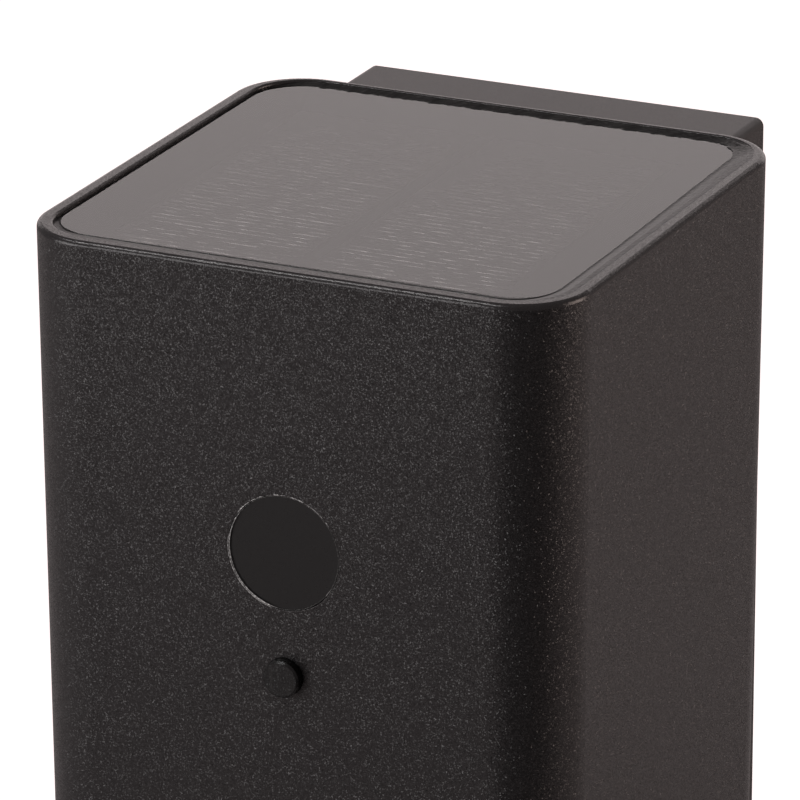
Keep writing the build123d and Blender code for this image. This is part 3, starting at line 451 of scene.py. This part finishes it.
slow = wander(11, [(3, 0.10), (7, 0.08), (13, 0.06)])
ragged = wander(12, [(47, 0.12), (83, 0.14), (131, 0.14), (197, 0.12), (293, 0.10)])
panel_size, panel_middle = size_and_middle(panel_low, panel_high)
pocket_size, pocket_middle = size_and_middle(pocket_low, pocket_high)
panel_walk = round_walk(panel_size, PANEL_CORNER, panel_middle, BEAD_STATIONS)
pocket_walk = round_walk(pocket_size, POCKET_CORNER, pocket_middle, BEAD_STATIONS)
rings = []
for (edge, out, share), (wall, _, _) in zip(panel_walk, pocket_walk):
    from_left = (edge.x - panel_low[0]) / panel_size[0]
    from_front = (edge.y - panel_low[1]) / panel_size[1]
    widening = max(0.0, from_front - RIGHT_LAP_START)
    right_lap = RIGHT_LAP * widening * (1.0 + RIGHT_LAP_RAGGED * ragged(share))
    back_lap = max(BACK_LAP_LEAST, BACK_LAP * (1.0 + BACK_LAP_RAGGED * ragged(share)))
    profiles = (
        front_profile(FRONT_GROOVE[0] + FRONT_GROOVE[1] * from_left),
        right_profile(right_lap, RIGHT_WAVER * slow(share)),
        back_profile(back_lap, BACK_ROUGH * ragged(share)),
        left_profile(),
    )
    sides = [max(0.0, part) ** 2 for part in (-out.y, out.x, out.y, -out.x)]
    ring = []
    for points in zip(*profiles):
        outward, across, z = (sum(part * point[i] for part, point in zip(sides, points)) for i in range(3))
        at = edge + (wall - edge) * across + out * outward
        ring.append((at.x, at.y, z))
    shoulder = ring[-1][2] - BEAD_SHOULDER
    ring += [(wall.x, wall.y, shoulder), (wall.x, wall.y, BEAD_FLOOR), (edge.x, edge.y, BEAD_FLOOR)]
    rings.append(ring)
bead = ring_mesh("sealant_bead", rings)
silicone_black = finish("sealant", Base_Color=(0.016, 0.0155, 0.0155), Specular_IOR_Level=0.33)
skin = grain(silicone_black, 1500.0)
roughened(silicone_black, skin, 0.26, 0.38)
bumped(silicone_black, skin, depth=0.00014, strength=0.9)
bead.data.materials.append(silicone_black)
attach(bead, "lamp")
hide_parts("panel_sealant")


# ---------------------------------------------------------------------------------------------------
# Motion sensor window: a smooth disc of black plastic that lets infrared through, pushed in from
# behind against its gasket, with a hair of glossy adhesive left in the gap round it, run only on the
# arcs where the edge catches the light and coloured pale there as a painted highlight.
# ---------------------------------------------------------------------------------------------------
WINDOW_RADIUS = 0.0101
WINDOW_GAP = 0.0002
GLUE_INSIDE = 0.00005            # how far within the disc's edge the inner hair runs
GLUE_PROUD = 0.0003              # of the disc
GLUE_THINNEST = 0.000008
GLUE_TAPER = 12.0                # degrees in which a run comes up to its thickness
GLUE_STATIONS = 300
GLUE_SIDES = 8
GLUE_WAVES = [(5, 0.15), (17, 0.15), (43, 0.20), (97, 0.20)]
GLUE_HIGHLIGHT_DIM = (0.30, 0.29, 0.29)
GLUE_HIGHLIGHT_BRIGHT = (0.85, 0.83, 0.82)

window_low, window_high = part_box("sensor_window")
WINDOW_HEIGHT = (window_low[2] + window_high[2]) / 2
FACE_Y = window_low[1] - GLUE_PROUD

window_black = mottled("sensor_black", dark=(0.0100, 0.0094, 0.0094), pale=(0.0110, 0.0104, 0.0104),
                       grains=1200.0, detail=1.0, smooth=0.26, rough=0.30, Specular_IOR_Level=0.45)
dress(window_black, "sensor_window")

# Painted highlight: the glue's pale grey to near white colour stands in for the highlights on the window's
# edge.
glue_highlight = finish("glue", Specular_IOR_Level=0.8)
highlight_grain = grain(glue_highlight, 2400.0)
coloured(glue_highlight, mixed(glue_highlight, between(glue_highlight, highlight_grain, 0.45, 0.6), GLUE_HIGHLIGHT_DIM, GLUE_HIGHLIGHT_BRIGHT))
roughened(glue_highlight, highlight_grain, 0.08, 0.2)


def glue_run(name, reach, runs, seed):
    """A hair of pale adhesive round the window at that radius, a painted highlight. Runs are start and end
    angle and thickness.
    """
    uneven = wander(seed, GLUE_WAVES)
    rings = []
    for i in range(GLUE_STATIONS):
        share = i / GLUE_STATIONS
        angle = math.tau * share
        thick = GLUE_THINNEST
        for start, end, most in runs:
            within = min(360.0 * share - start, end - 360.0 * share) / GLUE_TAPER
            thick = max(thick, most * min(1.0, max(0.0, within)) * (1.0 + uneven(share)))
        ring = []
        for j in range(GLUE_SIDES):
            turn = math.tau * j / GLUE_SIDES
            out = reach + thick * math.cos(turn)
            y = FACE_Y - thick * math.sin(turn)
            ring.append((out * math.cos(angle), y, WINDOW_HEIGHT + out * math.sin(angle)))
        rings.append(ring)
    made = ring_mesh(name, rings)
    made.data.materials.append(glue_highlight)
    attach(made, "lamp")


# The runs lie only on the arcs where the window's edge shows highlights, so their pale colour is a painted
# highlight.
glue_run("window_glue_outer", WINDOW_RADIUS + WINDOW_GAP, [(28, 152, 0.00009), (165, 262, 0.00006)], seed=21)
glue_run("window_glue_inner", WINDOW_RADIUS - GLUE_INSIDE,
         [(140, 265, 0.00008), (228, 262, 0.00013), (318, 332, 0.00006)], seed=22)


# ---------------------------------------------------------------------------------------------------
# Mode button: a small cap of black moulded plastic that stands proud of the front, with a textured
# face and a wall painted near black as painted shade, on the plunger that reaches the switch.
# ---------------------------------------------------------------------------------------------------
CAP_WALL_PAINTED_SHADE = (0.0015, 0.0014, 0.0014)
CAP_BLACK = (0.0120, 0.0112, 0.0114)
CAP_PALE = (0.0220, 0.0205, 0.0202)
CAP_GRAINS = 7800.0
CAP_FACE = (-0.55, -0.85)        # how far a face looks to the front, where the wall's painted shade ends and the face begins

button_black = finish("button_black", Specular_IOR_Level=0.4)
skin_of_cap = node(button_black, "SeparateXYZ")
link(button_black, node(button_black, "NewGeometry").outputs["Normal"], skin_of_cap.inputs["Vector"])
face_not_wall_shade = between(button_black, skin_of_cap.outputs["Y"], *CAP_FACE)
streak = grain(button_black, 300.0, stretch=(4.0, 1.0, 0.7))
matt = mixed(button_black, between(button_black, streak, 0.45, 0.65), CAP_BLACK, CAP_PALE)
# Painted shade: where the cap faces away from the front, its wall is painted near black.
coloured(button_black, mixed(button_black, face_not_wall_shade, CAP_WALL_PAINTED_SHADE, matt))
grained(button_black, CAP_GRAINS, least=0.16, most=0.6, levelled=1.0)
roughened(button_black, grain(button_black, 3000.0), 0.22, 0.32)
dress(button_black, "mode_button", "switch_plunger")


# ---------------------------------------------------------------------------------------------------
# Gaskets and grommet: matt black rubber, die-cut or moulded, held under pressure by what they seal.
# The seal behind the button is a moulded boot of milky silicone.
# ---------------------------------------------------------------------------------------------------
rubber = mottled("black_rubber", dark=(0.016, 0.016, 0.016), pale=(0.030, 0.030, 0.031), grains=400.0,
                 detail=3.0, smooth=0.62, rough=0.8, Specular_IOR_Level=0.35)
bumped(rubber, grain(rubber, 2500.0), depth=0.00003, strength=0.5)
dress(rubber, "lead_grommet", "sensor_gasket", "bottom_gasket", "diffuser_gasket")

seal_grey = mottled("silicone", dark=(0.50, 0.50, 0.49), pale=(0.60, 0.60, 0.59), grains=250.0, smooth=0.35,
                    rough=0.5, Subsurface_Weight=0.15, Specular_IOR_Level=0.45)
dress(seal_grey, "button_seal")


# ---------------------------------------------------------------------------------------------------
# Moulded black inner parts: sensor shroud, battery cradle and tact switch, in satin plastic with the
# fine spark-eroded texture of their moulds.
# ---------------------------------------------------------------------------------------------------
satin_black = mottled("black_plastic", dark=(0.026, 0.026, 0.026), pale=(0.036, 0.036, 0.036), grains=1800.0,
                      detail=3.0, smooth=0.45, rough=0.6, relief=0.00003, strength=0.6,
                      Specular_IOR_Level=0.45)
dress(satin_black, "sensor_shroud", "battery_cradle", "tact_switch")


# ---------------------------------------------------------------------------------------------------
# Control board: green solder mask over copper tracks on both sides, with a moulded charge chip, an
# inductor, a capacitor and the motion sensor's drawn metal can soldered on, and nylon sockets and
# plugs for the leads.
# ---------------------------------------------------------------------------------------------------
TRACKS_DARK = (0.018, 0.11, 0.045)
TRACKS_PALE = (0.035, 0.20, 0.085)

board_green = finish("board_green", Specular_IOR_Level=0.5)
tracks = node(board_green, "TexBrick", Scale=1.0, Mortar_Size=0.0004, Brick_Width=0.006, Row_Height=0.0022)
turned = node(board_green, "Mapping", Rotation=(math.pi / 2, 0.0, 0.0))
link(board_green, place(board_green), turned.inputs["Vector"])
link(board_green, turned.outputs["Vector"], tracks.inputs["Vector"])
coloured(board_green, mixed(board_green, tracks.outputs["Fac"], TRACKS_DARK, TRACKS_PALE))
roughened(board_green, grain(board_green, 600.0), 0.28, 0.42)
dress(board_green, "control_board")

component = mottled("component_black", dark=(0.025, 0.025, 0.029), pale=(0.042, 0.042, 0.047), grains=3500.0,
                    smooth=0.5, rough=0.65, Specular_IOR_Level=0.4)
dress(component, "charge_chip", "inductor", "capacitor")

nylon = mottled("connector_white", dark=(0.72, 0.70, 0.64), pale=(0.80, 0.78, 0.73), grains=300.0,
                smooth=0.35, rough=0.5, Subsurface_Weight=0.1, Specular_IOR_Level=0.45)
dress(nylon, "lead_sockets", "lead_plugs")

can_metal = mottled("sensor_can", dark=(0.56, 0.56, 0.57), pale=(0.66, 0.66, 0.65), grains=900.0, detail=3.0,
                    stretch=(1.0, 0.1, 1.0), smooth=0.22, rough=0.38, Metallic=1.0)
dress(can_metal, "pir_sensor")


# ---------------------------------------------------------------------------------------------------
# Battery: two lithium cells in shrink sleeve, side by side in the cradle, joined by spot-welded
# spring contacts.
# ---------------------------------------------------------------------------------------------------
sleeve = mottled("cell_wrap", dark=(0.06, 0.19, 0.42), pale=(0.09, 0.25, 0.52), grains=220.0,
                 stretch=(1.0, 1.0, 0.3), smooth=0.22, rough=0.36, relief=0.0001, strength=0.3,
                 Specular_IOR_Level=0.5)
dress(sleeve, "battery_cell_left", "battery_cell_right")


# ---------------------------------------------------------------------------------------------------
# Leads: stranded copper in black PVC, clipped short between the panel, the battery, the lamp board
# and the control board.
# ---------------------------------------------------------------------------------------------------
jacket = mottled("lead_jacket", dark=(0.018, 0.018, 0.018), pale=(0.026, 0.026, 0.026), grains=700.0,
                 smooth=0.38, rough=0.5, Specular_IOR_Level=0.45)
dress(jacket, "panel_lead", "battery_lead", "led_lead")


# ---------------------------------------------------------------------------------------------------
# Wall strap, contacts and the screws inside: pressed or cold-headed steel, plated with bright zinc
# that has a faint cloudy spangle. The bezel screws and the lock screw, which stand in the rain, are
# plain stainless steel.
# ---------------------------------------------------------------------------------------------------
ZINC_DARK = (0.50, 0.51, 0.52)
ZINC_BRIGHT = (0.64, 0.65, 0.65)

zinc = finish("zinc_steel", Metallic=1.0)
spangle = grain(zinc, 260.0, detail=3.0)
coloured(zinc, mixed(zinc, spangle, ZINC_DARK, ZINC_BRIGHT))
roughened(zinc, grain(zinc, 900.0, detail=3.0, stretch=(1.0, 1.0, 0.15)), 0.26, 0.46)
bumped(zinc, spangle, depth=0.00002, strength=0.4)
dress(zinc, "board_screws", "cradle_screws", "reflector_screws", "led_screws", "canopy_screws",
      "wall_strap", "battery_contacts")

stainless = mottled("stainless", dark=(0.55, 0.55, 0.54), pale=(0.67, 0.67, 0.66), grains=1600.0, smooth=0.18,
                    rough=0.32, Metallic=1.0)
dress(stainless, "bezel_screws", "lock_screw")


# ---------------------------------------------------------------------------------------------------
# Lamp in the bottom: a white board with yellow-topped chips, a white moulded reflector round it and
# an opal sheet that closes the window.
# ---------------------------------------------------------------------------------------------------
reflector_white = mottled("reflector_white", dark=(0.82, 0.82, 0.81), pale=(0.86, 0.86, 0.85), grains=500.0,
                          smooth=0.2, rough=0.32, Specular_IOR_Level=0.5)
dress(reflector_white, "reflector")

board_white = mottled("led_board_white", dark=(0.76, 0.76, 0.75), pale=(0.82, 0.82, 0.82), grains=800.0,
                      smooth=0.3, rough=0.45, Specular_IOR_Level=0.5)
dress(board_white, "led_board")

phosphor = mottled("led_yellow", dark=(0.80, 0.62, 0.12), pale=(0.88, 0.74, 0.22), grains=1200.0, smooth=0.15,
                   rough=0.3, Specular_IOR_Level=0.5)
dress(phosphor, "led_chips")

opal = mottled("opal", dark=(0.80, 0.80, 0.79), pale=(0.86, 0.86, 0.85), grains=1100.0, smooth=0.38,
               rough=0.5, relief=0.00002, strength=0.5, Subsurface_Weight=0.3, Specular_IOR_Level=0.45)
dress(opal, "diffuser")


# ---------------------------------------------------------------------------------------------------
# Floor, backdrop and lamps. The light stands on a pale floor in front of a white backdrop, with a
# dark card out of sight that darkens the side's reflection. A long soft box hangs overhead, one
# stands at the left front and one at the right rear.
# ---------------------------------------------------------------------------------------------------
FLOOR_Z = -0.0902
FLOOR_REACH = 4
FLOOR_GREY = (0.40, 0.37, 0.37)
STOOD_ON = 0.03                  # how near a piece is when the floor lets light through to its underside
BACKDROP_LEFT = -2.0
BACKDROP_RIGHT = 0.40
BACKDROP_Y = 1.4
BACKDROP_TOP = 0.86
BACKDROP_GREY = (0.4, 0.4, 0.4)
CARD_Z = FLOOR_Z + 0.001
CARD_OUTLINE = ((0.03, -0.20), (0.18, -0.14), (1.30, -0.34), (0.00, -1.40))
CARD_BLACK = (0.02, 0.02, 0.02)
STUDIO_WHITE = (1.0, 0.90, 0.895)
STUDIO_WARM = (1.0, 0.83, 0.75)
SKY_LIGHT = 0.22
SKY_SEEN = 1.2


def sheet_of(name, corners, made_of):
    """A flat four-cornered stage piece."""
    mesh = bpy.data.meshes.new(name)
    shape = bmesh.new()
    shape.faces.new([shape.verts.new(corner) for corner in corners])
    shape.to_mesh(mesh)
    shape.free()
    mesh.materials.append(made_of)
    made = bpy.data.objects.new(name, mesh)
    bpy.context.scene.collection.objects.link(made)
    return made


def white_to_the_eye(name, grey, glow, glossy_glow):
    """A pale matt surface that glows to the camera, and as much as is asked in glossy and clear pieces.

    It is clear from behind, and lets light through to what stands on it, so that its underside isn't
    black."""
    made = bpy.data.materials.new(name)
    made.use_nodes = True
    made.node_tree.nodes.clear()
    path = node(made, "LightPath").outputs
    other = result_of(made, "MAXIMUM", path["Is Glossy Ray"], path["Is Transmission Ray"])
    to_camera = result_of(made, "MULTIPLY", path["Is Camera Ray"], glow)
    amount = result_of(made, "ADD", to_camera, result_of(made, "MULTIPLY", other, glossy_glow))
    matt = node(made, "BsdfDiffuse", Color=(*grey, 1.0))
    light = node(made, "Emission", Color=(*STUDIO_WHITE, 1.0))
    link(made, amount, light.inputs["Strength"])
    both = node(made, "AddShader")
    link(made, matt.outputs[0], both.inputs[0])
    link(made, light.outputs[0], both.inputs[1])
    close_by = result_of(made, "LESS_THAN", path["Ray Length"], STOOD_ON)
    not_seen = result_of(made, "SUBTRACT", 1.0, path["Is Camera Ray"])
    under_piece = result_of(made, "MULTIPLY", close_by, not_seen)
    behind = node(made, "NewGeometry").outputs["Backfacing"]
    side = node(made, "MixShader")
    link(made, result_of(made, "MAXIMUM", behind, under_piece), side.inputs[0])
    link(made, both.outputs[0], side.inputs[1])
    link(made, node(made, "BsdfTransparent").outputs[0], side.inputs[2])
    out = node(made, "OutputMaterial")
    link(made, side.outputs[0], out.inputs["Surface"])
    return made


def soft_box(name, at, aim, width, height, radiance, tint=(1.0, 1.0, 1.0)):
    """An even square of light with that radiance, which the camera doesn't see."""
    lamp = bpy.data.lights.new(name, "AREA")
    lamp.shape = "RECTANGLE"
    lamp.size, lamp.size_y = width, height
    lamp.energy = radiance * math.pi * width * height
    lamp.color = tint
    made = bpy.data.objects.new(name, lamp)
    made.location = at
    made.rotation_euler = (Vector(aim) - Vector(at)).to_track_quat("-Z", "Y").to_euler()
    made.visible_camera = False
    bpy.context.scene.collection.objects.link(made)


floor_corners = [(x * FLOOR_REACH, y * FLOOR_REACH, FLOOR_Z) for x, y in ((-1, -1), (1, -1), (1, 1), (-1, 1))]
sheet_of("floor", floor_corners, white_to_the_eye("floor_pale", FLOOR_GREY, glow=1.02, glossy_glow=0.08))
backdrop_corners = [
    (BACKDROP_LEFT, BACKDROP_Y, FLOOR_Z), (BACKDROP_RIGHT, BACKDROP_Y, FLOOR_Z),
    (BACKDROP_RIGHT, BACKDROP_Y, BACKDROP_TOP), (BACKDROP_LEFT, BACKDROP_Y, BACKDROP_TOP),
]
sheet_of("backdrop", backdrop_corners,
         white_to_the_eye("backdrop_white", BACKDROP_GREY, glow=1.2, glossy_glow=0.92))
card = sheet_of("dark_card", [(x, y, CARD_Z) for x, y in CARD_OUTLINE],
                finish("card_black", Base_Color=CARD_BLACK))
card.visible_camera = False
card.visible_shadow = False

soft_box("box_overhead", at=(-0.62, -0.50, 1.30), aim=(0.0, -0.07, 0.0), width=0.9, height=0.10,
         radiance=19.0)
soft_box("box_left_front", at=(-0.80, -1.05, 0.20), aim=(0.0, -0.07, 0.03), width=0.9, height=0.5,
         radiance=4.0)
soft_box("box_right_rear", at=(1.30, 0.55, 0.25), aim=(0.0, -0.07, 0.03), width=0.7, height=0.9,
         radiance=3.6, tint=STUDIO_WARM)

studio = bpy.data.worlds.new("studio")
studio.use_nodes = True
bpy.context.scene.world = studio
sky = studio.node_tree.nodes["Background"]
sky.inputs["Color"].default_value = (*STUDIO_WHITE, 1.0)
to_camera = node(studio, "LightPath").outputs["Is Camera Ray"]
link(studio, between(studio, to_camera, 0.0, 1.0, SKY_LIGHT, SKY_SEEN), sky.inputs["Strength"])
